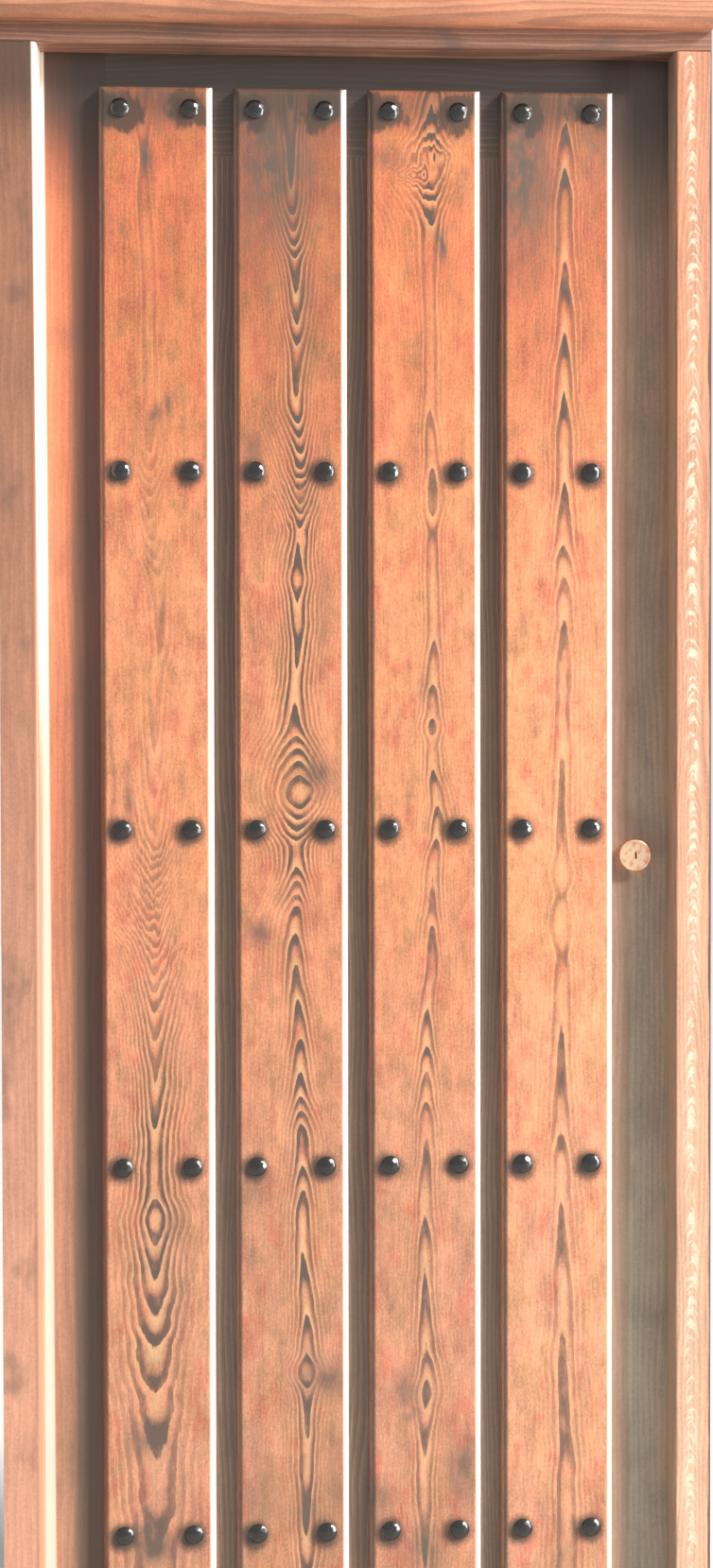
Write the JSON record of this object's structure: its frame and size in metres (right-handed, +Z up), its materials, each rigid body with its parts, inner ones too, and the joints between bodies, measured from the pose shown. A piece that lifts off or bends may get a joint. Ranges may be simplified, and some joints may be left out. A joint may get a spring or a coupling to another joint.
{
  "type": "studded plank door in its frame",
  "caption": "Rectangular pine plank door with domed iron studs, hung in its rebated frame with a drip moulding, opening inwards, with a rim bolt lock.",
  "frame": {"origin": "on the floor, midway between the jambs and halfway through the whole depth", "axes": "+X to the right seen from outside, +Y from the outside face inwards, +Z up"},
  "size_m": [0.896, 0.142, 2.09],
  "materials": {
    "frame_pine": "satin varnished pale pine",
    "leaf_pine": "satin varnished honey pine",
    "board_pine": "satin varnished flat-sawn pine with a stained grain",
    "stud_iron": "blackened hammered iron",
    "hinge_brass": "satin brass",
    "lock_brass": "polished pale brass",
    "lock_steel": "zinc plated steel",
    "case_enamel": "dark brown enamelled steel"
  },
  "bodies": {
    "frame": {"left_jamb": "frame_pine", "right_jamb": "frame_pine", "head_jamb": "frame_pine", "head_drip": "frame_pine", "head_screws": "lock_steel", "hinge_frame_plate_1": "hinge_brass", "hinge_frame_plate_2": "hinge_brass", "hinge_frame_plate_3": "hinge_brass", "hinge_pin_1": "hinge_brass", "hinge_pin_2": "hinge_brass", "hinge_pin_3": "hinge_brass", "hinge_screws_frame": "hinge_brass", "keeper": "case_enamel", "keeper_screws": "lock_steel"},
    "leaf": {"hinge_stile": "leaf_pine", "lock_stile": "leaf_pine", "top_rail": "leaf_pine", "ledge_upper": "leaf_pine", "ledge_middle": "leaf_pine", "ledge_lower": "leaf_pine", "ledge_bottom": "leaf_pine", "lining_board_1": "leaf_pine", "lining_board_2": "leaf_pine", "lining_board_3": "leaf_pine", "lining_board_4": "leaf_pine", "lining_board_5": "leaf_pine", "face_board_1": "board_pine", "face_board_2": "board_pine", "face_board_3": "board_pine", "face_board_4": "board_pine", "studs_row_1": "stud_iron", "studs_row_2": "stud_iron", "studs_row_3": "stud_iron", "studs_row_4": "stud_iron", "studs_row_5": "stud_iron", "hinge_leaf_plate_1": "hinge_brass", "hinge_leaf_plate_2": "hinge_brass", "hinge_leaf_plate_3": "hinge_brass", "hinge_screws_leaf": "hinge_brass", "cylinder_ring": "lock_brass", "cylinder_body": "lock_brass", "cylinder_screws": "lock_steel", "lock_backplate": "lock_steel", "lock_case": "case_enamel", "lock_case_screws": "lock_steel"},
    "turn": {"thumb_turn": "lock_brass", "follower": "lock_steel"},
    "plug": {"key_plug": "lock_brass", "tailbar": "lock_steel"},
    "bolt": {"dead_bolt": "lock_steel"}
  },
  "joints": [
    {"name": "door_swing", "type": "hinge", "parent": "frame", "child": "leaf", "pos_m": [-0.414, 0.0333, 1.025], "axis": [0, 0, 1], "range_deg": [0, 110]},
    {"name": "thumb_turn", "type": "hinge", "parent": "leaf", "child": "turn", "pos_m": [0.3565, 0.049, 1.0125], "axis": [0, 1, 0], "range_deg": [0, 90]},
    {"name": "plug_turn", "type": "hinge", "parent": "leaf", "child": "plug", "pos_m": [0.3565, -0.013, 1.0125], "axis": [0, 1, 0], "range_deg": [0, 90]},
    {"name": "bolt_slide", "type": "slide", "parent": "leaf", "child": "bolt", "axis": [1, 0, 0], "range_m": [0, 0.02]}
  ],
  "couplings": [
    {"joint": "bolt_slide", "follows": "thumb_turn", "m_per_rad": 0.01273},
    {"joint": "plug_turn", "follows": "thumb_turn", "ratio": 1}
  ]
}
